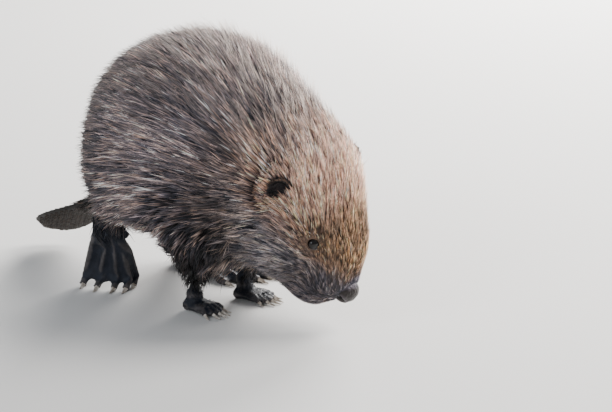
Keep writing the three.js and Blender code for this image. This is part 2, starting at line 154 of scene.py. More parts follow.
def softened(values, ends, rounds):
    """Values on the vertices, each drawn towards the mean of its neighbours."""
    count = len(values)
    share = np.bincount(ends.ravel(), minlength=count).clip(1)
    for _ in range(rounds):
        for k in range(values.shape[1]):
            column = values[:, k]
            around = (np.bincount(ends[:, 0], column[ends[:, 1]], count)
                      + np.bincount(ends[:, 1], column[ends[:, 0]], count)) / share
            values[:, k] = column * 0.5 + around * 0.5
    return values


def eased(value, low, high):
    """A smooth step from 0 at the low end to 1 at the high end."""
    t = np.clip((value - low) / (high - low), 0, 1)
    return t * t * (3 - 2 * t)


def in_head(points):
    """Places measured from the middle of the head, in mm: forward, left, up."""
    return (points - HEAD) @ np.stack((HEAD_FORWARD, HEAD_LEFT, HEAD_UP), 1) / MM


def unit(vectors):
    """The same directions, one unit long."""
    return vectors / np.linalg.norm(vectors, axis=-1, keepdims=True).clip(1e-9)


def nose_distance(points):
    """Distance from the middle of the nose pad, 1 at its rim."""
    return np.linalg.norm((points - NOSE) / NOSE_PAD_HALF, axis=1) / MM


def coat_depth(points, owner):
    """Depth of the coat in mm over a place on the outline."""
    depth = np.array([COAT_DEPTH[name] for name in FLESH])[owner]
    ahead = in_head(points)[:, 0]
    is_head = owner == FLESH.index("head")
    depth = np.where(is_head, 8.5 - 6.8 * eased(ahead, -50, 42), depth)
    for key in FLESH:
        if "leg" in key:
            thick = COAT_DEPTH["trunk"] - (COAT_DEPTH["trunk"] - COAT_DEPTH[key]) * (
                1 - eased(points[:, 2] / MM, 55, 105))
            depth = np.where(owner == FLESH.index(key), thick, depth)
    for ear in EARS:
        beside = 0.2 + 0.8 * eased(np.linalg.norm(points - ear, axis=1) / MM, 9, 28)
        depth = np.where(np.isin(owner, EAR_SKIN), depth, depth * beside)
    for eye in EYES:
        depth = depth * eased(np.linalg.norm(points - eye, axis=1) / MM, 5, 15)
    return depth * eased(nose_distance(points), 0.9, 1.9)


marks, owners = [], []
for index, name in enumerate(FLESH):
    corners = np.array([v.co for v in nodes[name].data.vertices]).reshape(-1, 3, 3)
    for share in ((1, 1, 1), (4, 1, 1), (1, 4, 1), (1, 1, 4)):
        spot = np.tensordot(corners, np.array(share) / sum(share), axes=((1,), (0,)))
        marks.append(spot)
        owners.append(np.full(len(spot), index))
marks, owners = np.concatenate(marks), np.concatenate(owners)
nearest_mark = search_tree(marks)


def owners_at(points):
    """Which solid is nearest to each place, as its index in FLESH."""
    return np.array([owners[nearest_mark.find(spot)[1]] for spot in points])


flesh = bpy.data.meshes.new("flesh")
merged_copy(FLESH, 0.5 * MM).to_mesh(flesh)
hide_data = modified(flesh, "REMESH", mode="VOXEL", voxel_size=HIDE_GRID, use_smooth_shade=True)
ends = edge_ends(hide_data)
skin = points_of(hide_data)
owner = owners_at(skin)
depth = softened(coat_depth(skin, owner)[:, None], ends, 14)[:, 0]
skin = softened(skin, ends, 3)
for _ in range(3):
    hide_data.vertices.foreach_set("co", skin.ravel())
    hide_data.update()
    away = unit(softened(points_of(hide_data, "normal"), ends, 6))
    skin = skin - away * (depth * MM / 3 + 0.15 * MM)[:, None]
    skin = np.where((depth > 3)[:, None], softened(skin.copy(), ends, 6), skin)

# Brow and cheek swell round each eye, and the lips part along a shallow groove.
local = in_head(skin)
for side, eye in zip((-1, 1), EYES):
    from_eye = in_head(skin) - in_head(eye[None])[0]
    brow = np.exp(-((from_eye[:, 0] + 1) / 8) ** 2 - ((from_eye[:, 2] - 8) / 3.2) ** 2)
    brow *= side * local[:, 1] > 5
    cheek = np.exp(-((from_eye[:, 0] - 2) / 9) ** 2 - ((from_eye[:, 2] + 9) / 3.5) ** 2)
    cheek *= side * local[:, 1] > 5
    skin += away * ((brow * 1.3 + cheek * 0.9) * MM)[:, None]
mouth_line = -17 - 0.012 * (local[:, 1] ** 2) - 0.18 * (48 - local[:, 0]).clip(0, 40)
mouth = np.exp(-((local[:, 2] - mouth_line) / 1.5) ** 2) * eased(local[:, 0], 8, 20)
skin -= away * (mouth * 2.2 * MM)[:, None]
cleft = np.exp(-(local[:, 1] / 1.1) ** 2) * eased(local[:, 0], 30, 36)
cleft *= (local[:, 2] < -9) & (local[:, 2] > mouth_line)
skin -= away * (cleft * 1.2 * MM)[:, None]
# Toes and finger bones stand out from the thin webs and creased soles.
footed = np.isin(owner, FEET)
relief = (skin - softened(skin.copy(), ends, 16)) * softened(footed[:, None] * 1.0, ends, 4)
skin += relief * 0.9
# The right ankle narrows below the haunch.
ankle = eased(skin[:, 0] / MM, -44, -28) * np.exp(-((skin[:, 2] / MM - 52) / 10) ** 2)
ankle *= softened((owner == FLESH.index("hindfoot_right"))[:, None] * 1.0, ends, 4)[:, 0]
skin[:, 0] -= ankle * 7 * MM
skin[:, 2] = skin[:, 2].clip(FLOOR_GAP)
hide_data.vertices.foreach_set("co", skin.ravel())
hide_data.update()

keep_fine = 1 - eased(depth, 0.8, 5.5)
holder = bpy.data.objects.new("hide_work", hide_data)
bpy.context.scene.collection.objects.link(holder)
group = holder.vertex_groups.new(name="coarse")
for level in range(1, 11):
    chosen = np.nonzero(np.round((1 - keep_fine) * 10) == level)[0]
    group.add(chosen.tolist(), level / 10, "REPLACE")
thin = holder.modifiers.new("thin", "DECIMATE")
thin.ratio = min(1.0, HIDE_TRIANGLES / (2 * len(hide_data.polygons)))
thin.vertex_group = "coarse"
thin.vertex_group_factor = 4
ready = holder.evaluated_get(bpy.context.evaluated_depsgraph_get())
hide_mesh = bpy.data.meshes.new_from_object(ready)
bpy.data.objects.remove(holder)
hide_mesh.shade_smooth()
hide = shown("hide", hide_mesh)
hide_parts(*FLESH)

bpy.context.view_layer.objects.active = hide
hide.select_set(True)
bpy.ops.object.mode_set(mode="EDIT")
bpy.ops.mesh.select_all(action="SELECT")
bpy.ops.uv.smart_project(angle_limit=1.2, island_margin=0.002)
bpy.ops.object.mode_set(mode="OBJECT")
hide.select_set(False)
hide_mesh.uv_layers[0].name = "OFBake"

# ---------------------------------------------------------------- markings
# Grey-brown back and flanks with paler frosted tips, warm crown and dark legs. The belly is dark partly
# of its own and partly with painted shade. Painted shade also darkens the jaw's underside, the shoulders
# and the ear hollows. The feet carry a painted bluish sky reflection and painted highlights on the toe
# ridges. Hide and coat take the same colours from where a hair stands on the body.
SHADES = {
    "flank": (108, 100, 104), "back": (84, 77, 80), "rump": (46, 45, 49),
    "belly_and_shade": (44, 37, 32), "neck": (80, 69, 66), "crown": (190, 150, 130),
    "bridge": (138, 112, 90), "cheek": (132, 128, 132), "lips": (100, 96, 101),
    "shoulder": (34, 30, 30), "nose_top": (112, 112, 124), "leg": (17, 17, 19),
    "foot": (36, 41, 52), "ear": (34, 31, 33), "tail": (40, 34, 31),
    "toe": (104, 98, 96), "ear_back": (76, 63, 55),
}
linear = {key: np.power(np.array(shade) / 255, 2.2) for key, shade in SHADES.items()}


def markings(points, owner, normal):
    """The coat's base colour at places on the body, as linear colour, with painted shade and painted sky
    reflection laid in.
    """
    def towards(colour, key, amount):
        """Colour drawn towards one of the shades."""
        return colour + (linear[key] - colour) * np.clip(amount, 0, 1)[:, None]
    x, z = points[:, 0] / MM, points[:, 2] / MM
    local = in_head(points)
    colour = np.repeat(linear["flank"][None], len(points), 0)
    colour = towards(colour, "back", eased(normal[:, 2], 0.1, 0.9) * eased(z, 120, 200))
    colour = towards(colour, "rump", eased(-x, -15, 60))
    # Painted shade over a partly dark belly: downward-facing hair, and the lowest hair behind the head,
    # are drawn darker.
    colour = towards(colour, "belly_and_shade", eased(-normal[:, 2], 0.25, 0.8) * eased(-z, -95, -40))
    colour = towards(colour, "belly_and_shade", 0.75 * eased(-z, -75, -35) * (local[:, 0] < -30))
    to_head = eased(local[:, 0], -110, -50) * eased(x, 50, 110)
    colour = towards(colour, "neck", to_head * eased(local[:, 2], -20, 20))
    face = eased(local[:, 0], -78, -24) * eased(x, 70, 105)
    colour = towards(colour, "cheek", face * 0.8)
    top = face * eased(local[:, 2], 0, 26)
    colour = towards(colour, "crown", top * 0.95)
    colour = towards(colour, "bridge", top * eased(local[:, 0], -8, 22))
    colour = towards(colour, "lips", face * eased(local[:, 0], 12, 38) * (1 - eased(local[:, 2], 0, 14)))
    from_nose = nose_distance(points + (HEAD_FORWARD - HEAD_UP) * 3 * MM)
    colour = towards(colour, "nose_top", 1 - eased(from_nose, 0.95, 1.4))
    # Painted shade under the jaw.
    colour = towards(colour, "belly_and_shade", face * eased(-local[:, 2], 26, 46) * 0.6)
    # Painted shade: the shoulders below the lowered head and neck are drawn nearly black.
    shoulder = np.exp(-((x - 112) / 34) ** 2 - ((z - 102) / 42) ** 2)
    colour = towards(colour, "shoulder", 0.9 * shoulder * eased(np.abs(points[:, 1] / MM - 8), 25, 50))
    for key in FLESH:
        here = (owner == FLESH.index(key)).astype(float)
        if "leg" in key:
            low = (-70, -35) if "hind" in key else (-88, -42)
            colour = towards(colour, "leg", here * eased(-z, *low))
        # The feet: dark skin with a painted bluish sky reflection over it.
        if "foot" in key or "paw" in key:
            colour = towards(colour, "foot", here)
        if "ear_" in key:
            hollow = 0.8 * HEAD_FORWARD + (0.6 if key == "ear_left" else -0.6) * HEAD_LEFT
            # Dark ear skin, darkest on the side facing into the hollow: partly its own colour, partly
            # painted shade in the hollow.
            colour = towards(colour, "ear", here)
            colour = towards(colour, "ear_back", here * eased(-(normal @ hollow), -0.25, 0.5))
        if key == "tail":
            colour = towards(colour, "tail", here)
    return colour


def colour_attribute(data, name, colours):
    """A colour on each vertex, for a material to read."""
    layer = data.color_attributes.new(name, "FLOAT_COLOR", "POINT")
    full = np.concatenate((colours, np.ones((len(colours), 1))), 1)
    layer.data.foreach_set("color", full.ravel().astype(np.float32))


skin = points_of(hide_mesh)
skin_normal = points_of(hide_mesh, "normal")
owner = owners_at(skin)
bump = ((skin - softened(skin.copy(), edge_ends(hide_mesh), 12)) * skin_normal).sum(1) / MM
footed = np.isin(owner, FEET)
# Painted highlight: the raised toe ridges on the feet are drawn paler.
ridge = eased(bump, 0.05, 0.45) * footed
hide_colour = markings(skin, owner, skin_normal) * (0.45 + 0.3 * footed)[:, None]
hide_colour += (linear["toe"] * 0.75 - hide_colour) * (ridge * 0.55)[:, None]
colour_attribute(hide_mesh, "marking", hide_colour)


def material(name, **values):
    """A new material: its node tree and its Principled shader with plain values set."""
    made = bpy.data.materials.new(name)
    made.use_nodes = True
    tree = made.node_tree
    shader = tree.nodes["Principled BSDF"]
    for key, value in values.items():
        shader.inputs[key.replace("_", " ")].default_value = value
    return made, tree, shader


def node(tree, kind, **inputs):
    """A new shader node with links or plain values on its sockets."""
    made = tree.nodes.new(kind)
    for key, value in inputs.items():
        socket = made.inputs[key] if key in made.inputs else made.inputs[key.replace("_", " ")]
        if isinstance(value, bpy.types.NodeSocket):
            tree.links.new(value, socket)
        else:
            socket.default_value = value
    return made


def attribute(tree, name, output="Color"):
    """A value that the mesh carries, for a shader to use."""
    made = tree.nodes.new("ShaderNodeAttribute")
    made.attribute_name = name
    return made.outputs[output]


def combined(tree, operation, *values):
    """The result of one vector operation on links or plain values."""
    made = tree.nodes.new("ShaderNodeVectorMath")
    made.operation = operation
    for key, value in zip((0, "Scale") if operation == "SCALE" else (0, 1, 2), values):
        if isinstance(value, bpy.types.NodeSocket):
            tree.links.new(value, made.inputs[key])
        else:
            made.inputs[key].default_value = value
    return made.outputs[0]


def ramp(tree, amount, low, high, stops=(0.0, 1.0)):
    """One colour passing into another between two stops of an amount."""
    made = node(tree, "ShaderNodeValToRGB", Fac=amount)
    for element, stop, colour in zip(made.color_ramp.elements, stops, (low, high)):
        element.position = stop
        element.color = (*colour, 1)
    return made.outputs["Color"]


def stretched(tree, amount, before, after=(0.0, 1.0), kind="LINEAR"):
    """An amount mapped from one span to another."""
    made = node(tree, "ShaderNodeMapRange", Value=amount)
    made.interpolation_type = kind
    for key, value in zip(("From Min", "From Max", "To Min", "To Max"), (*before, *after)):
        made.inputs[key].default_value = value
    return made.outputs[0]


def add_relief(tree, shader, height, strength, distance):
    """Fine relief on a surface, from a height."""
    made = node(tree, "ShaderNodeBump", Height=height, Strength=strength, Distance=distance)
    tree.links.new(made.outputs[0], shader.inputs["Normal"])


# Leathery grain: a fine pebble over soft creases, shared by hide, lids, nose and scales.
grain = bpy.data.node_groups.new("leather_grain", "ShaderNodeTree")
for label, kind, default in (("Pebble size", "NodeSocketFloat", 900.0),
                             ("Crease size", "NodeSocketFloat", 120.0)):
    grain.interface.new_socket(label, in_out="INPUT", socket_type=kind).default_value = default
grain.interface.new_socket("Height", in_out="OUTPUT", socket_type="NodeSocketFloat")
grain.interface.new_socket("Wear", in_out="OUTPUT", socket_type="NodeSocketFloat")
group_in, group_out = grain.nodes.new("NodeGroupInput"), grain.nodes.new("NodeGroupOutput")
place = grain.nodes.new("ShaderNodeTexCoord").outputs["Object"]
pebble = node(grain, "ShaderNodeTexVoronoi", Vector=place, Scale=group_in.outputs["Pebble size"])
crease = node(grain, "ShaderNodeTexNoise", Vector=place, Scale=group_in.outputs["Crease size"],
              Detail=4.0, Roughness=0.6)
both = node(grain, "ShaderNodeMath")
both.operation = "MULTIPLY_ADD"
grain.links.new(pebble.outputs["Distance"], both.inputs[0])
both.inputs[1].default_value = 0.5
grain.links.new(crease.outputs["Fac"], both.inputs[2])
grain.links.new(both.outputs[0], group_out.inputs["Height"])
grain.links.new(crease.outputs["Fac"], group_out.inputs["Wear"])


def add_grain(tree, pebble_size, crease_size):
    """The leathery grain at a given fineness; a larger value is finer."""
    made = tree.nodes.new("ShaderNodeGroup")
    made.node_tree = grain
    made.inputs["Pebble size"].default_value = pebble_size
    made.inputs["Crease size"].default_value = crease_size
    return made


hide_look, tree_hide, shader = material("hide_look", Roughness=0.62, Specular_IOR_Level=0.35)
leather = add_grain(tree_hide, 620.0, 160.0)
worn = stretched(tree_hide, leather.outputs["Wear"], (0.35, 0.75), (0.65, 1.5))
tinted = combined(tree_hide, "SCALE", attribute(tree_hide, "marking"), worn)
tree_hide.links.new(tinted, shader.inputs["Base Color"])
add_relief(tree_hide, shader, leather.outputs["Height"], 0.55, 0.0007)
hide_mesh.materials.clear()
hide_mesh.materials.append(hide_look)

# ---------------------------------------------------------------- lie of the coat
# Hairs run from the nose over crown and back to the tail, straight back along the
# flanks, and down the legs to the feet.
SPINE = np.array([
    (182, 21, 24), (180, 20, 60), (176, 17, 98), (166, 14, 135), (148, 11, 172),
    (118, 7, 205), (70, 2, 228), (10, 0, 236), (-45, -1, 222), (-85, -1, 180),
    (-108, -1, 120), (-135, -2, 55), (-190, -4, 15),
]) * MM
LEGS = {
    "foreleg_right": (-0.25, 0.0, -1.0), "foreleg_left": (-0.25, 0.0, -1.0),
    "hindleg_right": (-0.7, 0.0, -0.7), "hindleg_left": (-0.45, 0.0, -0.8),
    "hindfoot_right": (0.1, 0.0, -1.0), "hindfoot_left": (1.0, 0.3, -0.3),
    "forepaw_right": (1.0, 0.0, -0.5), "forepaw_left": (1.0, 0.2, -0.5),
    "tail": (-0.88, -0.03, -0.42),
}
TAIL_TOP = np.array((-0.112, -0.002, 0.07))
steps = np.linspace(0, len(SPINE) - 1, 90)
spine = np.stack([np.interp(steps, range(len(SPINE)), SPINE[:, k]) for k in range(3)], 1)
spine_way = unit(np.gradient(spine, axis=0))


def lie(points, normal, owner):
    """The way that hairs point at places on the body, lying along the skin."""
    gap = np.linalg.norm(points[:, None] - spine[None], axis=2)
    pull = 1 / (gap ** 3 + 0.02 ** 3)
    way = unit((pull[:, :, None] * spine_way[None]).sum(1))
    x, z = points[:, 0] / MM, points[:, 2] / MM
    rise = 0.30 * eased(x, 0, 110) + 0.28 * eased(z, 90, 180) - 0.22
    straight = np.stack((-np.ones(len(x)), np.zeros(len(x)), rise), 1)
    homeward = unit(TAIL_TOP - points)
    straight += (homeward - straight) * eased(-x, 0, 90)[:, None]
    far = eased(gap.min(1) / MM, 22, 80)
    way = way + (unit(straight) - way) * far[:, None]
    under = eased(-normal[:, 2], 0.25, 0.8)
    way = way + under[:, None] * (np.array((-1.2, 0, 0.25)) - way * 0.6)
    for name, leg_way in LEGS.items():
        here = (owner == FLESH.index(name)) * (1 if "leg" not in name else eased(-z, -115, -60))
        way = way * (1 - here)[:, None] + np.array(leg_way) * here[:, None]
    way = way - normal * (way * normal).sum(1)[:, None]
    return unit(way)


# ---------------------------------------------------------------- the coat
# Dense under-fur carries longer guard hairs, which cling together in locks whose tips part and show the
# dark wool below, deepened with painted shade. Each lock is a thin closed spike.
LOCKS = {  # length and width of a hair lock in mm, and how many for each part
    "trunk": (33, 1.3, 58_000), "neck": (29, 1.15, 12_600), "head": (13, 0.7, 48_000),
    "hindleg_right": (17, 1.1, 7_000), "hindleg_left": (17, 1.1, 4_400),
    "foreleg_right": (12, 1.0, 2_200), "foreleg_left": (12, 1.0, 1_800),
    "hindfoot_right": (5, 0.6, 2_400), "hindfoot_left": (4, 0.5, 300),
    "forepaw_right": (3.2, 0.45, 600), "forepaw_left": (3.2, 0.45, 600),
    "ear_right": (6.5, 0.45, 2_100), "ear_left": (6.5, 0.45, 2_100), "tail": (10, 0.9, 1_200),
}
HAIRS_IN_LOCK = 5
STRAY_SHARE = 0.09
FROSTED_SHARE = 0.24
EYE_CLEAR, EAR_CLEAR = 5.4, 10  # bare skin round eye and ear, in mm
NOSE_CLEAR = 0.92  # as a share of the way to the pad's rim
UNWRAP_PATCH = 0.003
chance = np.random.default_rng(41)
hide_mesh.calc_loop_triangles()
triangles = np.empty(len(hide_mesh.loop_triangles) * 3, int)
hide_mesh.loop_triangles.foreach_get("vertices", triangles)
triangles = triangles.reshape(-1, 3)
corners = np.empty(len(triangles) * 3, int)
hide_mesh.loop_triangles.foreach_get("loops", corners)
unwrap = np.empty(len(hide_mesh.loops) * 2)
hide_mesh.uv_layers["OFBake"].data.foreach_get("uv", unwrap)
unwrap = unwrap.reshape(-1, 2)[corners].reshape(-1, 3, 2)
edge_a = skin[triangles[:, 1]] - skin[triangles[:, 0]]
edge_b = skin[triangles[:, 2]] - skin[triangles[:, 0]]
areas = np.linalg.norm(np.cross(edge_a, edge_b), axis=1) / 2
face_owner = owner[triangles[:, 0]]
away = unit(skin_normal)


def scattered(count, weights):
    """Roots spread over the hide: place, normal, unwrap place and owner."""
    face = chance.choice(len(triangles), count, p=weights / weights.sum())
    share = chance.dirichlet((1, 1, 1), count)

    def mixed(values):
        """The value at the root, from the values at its face's corners."""
        return (values * share[:, :, None]).sum(1)

    return (mixed(skin[triangles[face]]), unit(mixed(away[triangles[face]])),
            mixed(unwrap[face]), face_owner[face])


outline = bvhtree.BVHTree.FromBMesh(merged_copy(FLESH))


def settled(tips, sunk):
    """Hair tips moved to lie a given depth under the coat's outline."""
    for i, spot in enumerate(tips):
        on, facing, _, _ = outline.find_nearest(spot)
        height = (Vector(spot) - on).dot(facing)
        tips[i] = spot - np.array(facing) * (height + sunk[i])
    return tips


def lying(roots, normals, ways, length, lift, sunk):
    """Bend and tip of hairs that rise from their roots and lie back along the body."""
    tips = settled(roots + ways * length[:, None] + normals * lift[:, None], sunk)
    return roots + ways * (length * 0.34)[:, None] + normals * (lift * 0.78)[:, None], tips


def locks(name, roots, normals, uvs, bends, tips, width, shades, rings=2):
    """Closed thin spikes of hair as one mesh, each curved from its root over its bend."""
    count = len(roots)
    across = unit(np.cross(tips - roots, normals))
    stops = [0.0, 0.42, 0.78][:rings]
    fat = [0.75, 1.0, 0.62][:rings]
    verts = np.empty((count, rings * 3 + 1, 3))
    for k, (t, wide) in enumerate(zip(stops, fat)):
        spot = roots * (1 - t) ** 2 + bends * (2 * t * (1 - t)) + tips * t * t
        half = (width * wide / 2)[:, None]
        verts[:, k * 3] = spot - across * half
        verts[:, k * 3 + 1] = spot + across * half
        verts[:, k * 3 + 2] = spot + normals * half * 0.9
    verts[:, -1] = tips
    verts[:, :, 2] = verts[:, :, 2].clip(0.0006)
    face = [(0, 2, 1)]
    for k in range(rings - 1):
        a, b = k * 3, k * 3 + 3
        for i in range(3):
            j = (i + 1) % 3
            face += [(a + i, a + j, b + j), (a + i, b + j, b + i)]
    a, last = (rings - 1) * 3, rings * 3
    face += [(a + i, a + (i + 1) % 3, last) for i in range(3)]
    face = np.array(face)
    size = rings * 3 + 1
    index = (face[None] + (np.arange(count) * size)[:, None, None]).reshape(-1)
    data = bpy.data.meshes.new(name)
    data.vertices.add(count * size)
    data.vertices.foreach_set("co", verts.ravel().astype(np.float32))
    data.loops.add(len(index))
    data.loops.foreach_set("vertex_index", index.astype(np.int32))
    data.polygons.add(len(index) // 3)
    data.polygons.foreach_set("loop_start", np.arange(0, len(index), 3, dtype=np.int32))
    data.update(calc_edges=True)
    data.shade_smooth()
    along = np.array([stops[k // 3] for k in range(rings * 3)] + [1.0])
    data.attributes.new("along", "FLOAT", "POINT").data.foreach_set(
        "value", np.tile(along, count).astype(np.float32))
    colour_attribute(data, "marking", np.repeat(shades, size, 0))
    sideways = np.array([(0, 1, 0.5)[k % 3] for k in range(rings * 3)] + [0.5])
    patch = np.stack((sideways, along), 1) * UNWRAP_PATCH
    placed = (uvs[:, None] + patch[None] - UNWRAP_PATCH / 2).reshape(-1, 2)[index]
    data.uv_layers.new(name="OFBake").data.foreach_set("uv", placed.ravel().astype(np.float32))
    return data


coat_look, tree_coat, shader = material("coat_look", Roughness=0.56, Specular_IOR_Level=0.2)
shader.inputs["Sheen Weight"].default_value = 0.06
shader.inputs["Sheen Roughness"].default_value = 0.4
strand = attribute(tree_coat, "along", "Fac")
tone = stretched(tree_coat, strand, (0.2, 1.0), kind="SMOOTHSTEP")
# Blue-black at the root and warm at the tip: partly the wool's own dark colour, partly painted shade in
# the gaps between locks.
root_shade_tone = combined(tree_coat, "MULTIPLY_ADD", tone, (1.72, 1.64, 1.58), (0.09, 0.10, 0.12))
banding = node(tree_coat, "ShaderNodeTexNoise", Scale=260.0, Detail=2.0,
               Vector=tree_coat.nodes.new("ShaderNodeTexCoord").outputs["Object"])
fleck = stretched(tree_coat, banding.outputs["Fac"], (0.3, 0.7), (0.78, 1.2))
banded = combined(tree_coat, "SCALE", root_shade_tone, fleck)
hair_colour = combined(tree_coat, "MULTIPLY", attribute(tree_coat, "marking"), banded)
tree_coat.links.new(hair_colour, shader.inputs["Base Color"])

ready_share = 1.0
sets = []
for name, (length, width, count) in LOCKS.items():
    weights = areas * (face_owner == FLESH.index(name))
    roots, normals, uvs, owner = scattered(int(count * ready_share), weights)
    local = in_head(roots)
    long = np.full(len(roots), float(length))
    wide = np.full(len(roots), float(width))
    keep = np.ones(len(roots), bool)
    if name == "head":
        long = 23 - 13.5 * eased(local[:, 0], -48, 40)
        wide = 0.8 - 0.43 * eased(local[:, 0], -48, 20)
        keep = chance.random(len(roots)) > 0.42 * eased(local[:, 0], -40, 25)
    if name == "neck":
        long = 23 + 9 * eased(-local[:, 0], 50, 90)
    if name == "trunk":
        long = long - 8 * eased(-roots[:, 2] / MM, -90, -40)
    if "leg" in name:
        long += 12 * eased(roots[:, 2] / MM, 55, 105)
    if name == "tail":
        keep = roots[:, 0] > TAIL_TOP[0] - chance.random(len(roots)) * 0.012
    if "foot" in name or "paw" in name:
        keep = normals[:, 2] > -0.2
        if name == "hindfoot_right":
            keep = roots[:, 2] / MM > 56 + chance.normal(0, 4, len(roots))
        long = np.where(roots[:, 2] / MM > 50, 15.0, long)
        wide = np.where(roots[:, 2] / MM > 50, 0.95, wide)
    sets.append([x[keep] for x in (roots, normals, uvs, owner, long, wide)])
roots, normals, uvs, owner, long, wide = [np.concatenate(x) for x in zip(*sets)]
eye_gap = np.min([np.linalg.norm(roots - eye, axis=1) for eye in EYES], axis=0) / MM
nose_gap = nose_distance(roots)
ear_gap = np.min([np.linalg.norm(roots - ear, axis=1) for ear in EARS], axis=0) / MM
on_ear = np.isin(owner, EAR_SKIN)
before_ear = np.max([eased((roots - ear) @ HEAD_FORWARD / MM, 3, 9)
                     * (np.linalg.norm(roots - ear, axis=1) < 0.03) for ear in EARS], axis=0)
keep = (eye_gap > EYE_CLEAR) & (nose_gap > NOSE_CLEAR) & (on_ear | (ear_gap > EAR_CLEAR))
ear_gap = np.where(on_ear, 99, ear_gap + 5 * before_ear)
roots, normals, uvs, owner, long, wide, eye_gap, ear_gap = [
    x[keep] for x in (roots, normals, uvs, owner, long, wide, eye_gap, ear_gap)]
long *= ((0.3 + 0.7 * eased(eye_gap, EYE_CLEAR, 20))
         * (0.35 + 0.65 * eased(ear_gap, EAR_CLEAR, 30)))
long *= 0.45 + 0.55 * eased(nose_distance(roots), NOSE_CLEAR, 2.4)

ways = lie(roots, normals, owner)
depth = coat_depth(roots, owner)
# Neighbouring hairs share a lock: its heart sets the lean and draws the tips together.
hearts = chance.choice(len(roots), len(roots) // HAIRS_IN_LOCK, replace=False)
near = search_tree(roots[hearts])
lock = np.array([near.find(spot)[1] for spot in roots])
heart = roots[hearts][lock]
lean = chance.normal(0, 0.11, len(hearts))[lock] + chance.normal(0, 0.06, len(roots))
across = unit(np.cross(ways, normals))
ways = unit(ways + across * lean[:, None])
long *= (1 + chance.normal(0, 0.12, len(hearts))[lock]) * chance.uniform(0.72, 1.12, len(roots))
drawn = heart - roots
drawn -= normals * (drawn * normals).sum(1)[:, None]
drawn -= ways * (drawn * ways).sum(1)[:, None]
ways = unit(ways * long[:, None] * MM + drawn * 0.9)
# Streaks of light and dark hair run on from lock to lock along the lie of the coat.
noise = chance.normal(0, 1, len(hearts))
streak = np.zeros(len(roots))
for pace in (-18, -12, -6, 0, 6, 12, 18):
    spots = roots + ways * pace * MM * (0.35 + 0.65 * eased(depth, 4, 12))[:, None]
    streak += noise[[near.find(spot)[1] for spot in spots]]
streak /= streak.std()
sunk = depth * (chance.beta(1.3, 2.6, len(roots)) * 0.62 - 0.06 * streak) - 1.6
sunk = np.where(depth > 5, sunk.clip(-2.5), sunk.clip(-0.4))
stray = (depth > 2) & (chance.random(len(roots)) < STRAY_SHARE)
sunk = np.where(stray, -chance.uniform(1, 6, len(roots)) * eased(depth, -2, 8), sunk)
rise = np.minimum((depth - sunk).clip(0.8), long * 0.75)
flat_length = np.sqrt((long ** 2 - rise ** 2).clip(1))
shades = markings(roots, owner, normals)
furry = eased(depth, 2, 11)
tone_and_deep_shade = np.exp((0.38 + 0.54 * furry) * streak - 0.28 * furry
                + chance.normal(0, 0.3, len(hearts))[lock] + chance.normal(0, 0.36, len(roots)))
# Painted shade: hairs lying deeper in the coat are drawn darker.
tone_and_deep_shade *= 1.1 - 0.6 * (sunk / depth.clip(1)).clip(0, 1)
# Light hair is warm and dark hair is blue-black; the blue-black of the deepest hair is painted shade.
warm = chance.normal(0.0, 0.05, len(hearts))[lock] + 0.17 * np.log(tone_and_deep_shade).clip(-1.2, 0.9)
shades = shades * tone_and_deep_shade[:, None] * np.stack((1 + warm, 1 + warm * 0.1, 1 - warm), 1)
frosted = chance.random(len(roots)) < FROSTED_SHARE * np.isin(owner, LONG_HAIRED)
frost = shades * 2.0 + np.array((0.045, 0.036, 0.032))
shades = np.where(frosted[:, None], frost, shades).clip(0, 0.85)

bends, tips = lying(roots, normals, ways, flat_length * MM, rise * MM, sunk * MM)
right_side = roots[:, 1] < 0.001
x = roots[:, 0] / MM
aside, up = in_head(roots)[:, 1:].T


def of(*names):
    """Which hairs stand on the named solids."""
    return np.isin(owner, [FLESH.index(n) for n in names])


COATS = {
    "coat_shoulder_right": of("trunk") & right_side & (x > 40),
    "coat_flank_right": of("trunk") & right_side & (x <= 40) & (x > -35),
    "coat_rump_right": of("trunk") & right_side & (x <= -35),
    "coat_shoulder_left": of("trunk") & ~right_side & (x > 40),
    "coat_flank_left": of("trunk") & ~right_side & (x <= 40) & (x > -35),
    "coat_rump_left": of("trunk") & ~right_side & (x <= -35),
    "coat_neck": of("neck"),
    "coat_crown_right": of("head") & (aside < 0) & (up > 6),
    "coat_crown_left": of("head") & (aside >= 0) & (up > 6),
    "coat_cheek_right": of("head") & (aside < 0) & (up <= 6),
    "coat_cheek_left": of("head") & (aside >= 0) & (up <= 6),
    "coat_legs": of("hindleg_right", "hindleg_left", "foreleg_right", "foreleg_left"),
    "coat_feet_ears_tail": of("hindfoot_right", "hindfoot_left", "forepaw_right", "forepaw_left",
                              "ear_right", "ear_left", "tail"),
}
for name, chosen in COATS.items():
    data = locks(name, roots[chosen], normals[chosen], uvs[chosen], bends[chosen], tips[chosen],
                 wide[chosen] * MM, shades[chosen])
    data.materials.append(coat_look)
    piece = shown(name, data)

# ---------------------------------------------------------------- loose guard hairs
# Sparse long thin hairs stand out from the coat in small wisps. They are a little paler than the coat,
# and painted rim light makes them palest along the back and over the nape's left side. They stand
# longest clear of the coat over the nape and down its left side.
WISP_HAIRS = 9_600
HAIRS_IN_WISP = 7
WISP_WIDTH = 0.5
weights = areas * np.isin(face_owner, LONG_HAIRED)
weights *= 0.3 + 1.2 * np.clip(away[triangles[:, 0]][:, 2], 0, 1)
weights *= np.where(face_owner == FLESH.index("head"), 2.2, 1.0)
roots, normals, uvs, owner = scattered(int(WISP_HAIRS * ready_share), weights)
depth = coat_depth(roots, owner)
keep = depth > 1.8
roots, normals, uvs, owner, depth = [x[keep] for x in (roots, normals, uvs, owner, depth)]
wisps = chance.choice(len(roots), len(roots) // HAIRS_IN_WISP, replace=False)
near = search_tree(roots[wisps])
wisp = np.array([near.find(spot)[1] for spot in roots])
ways = lie(roots, normals, owner)
ways = unit(ways + chance.normal(0, 0.2, (len(wisps), 3))[wisp] + chance.normal(0, 0.05, roots.shape))
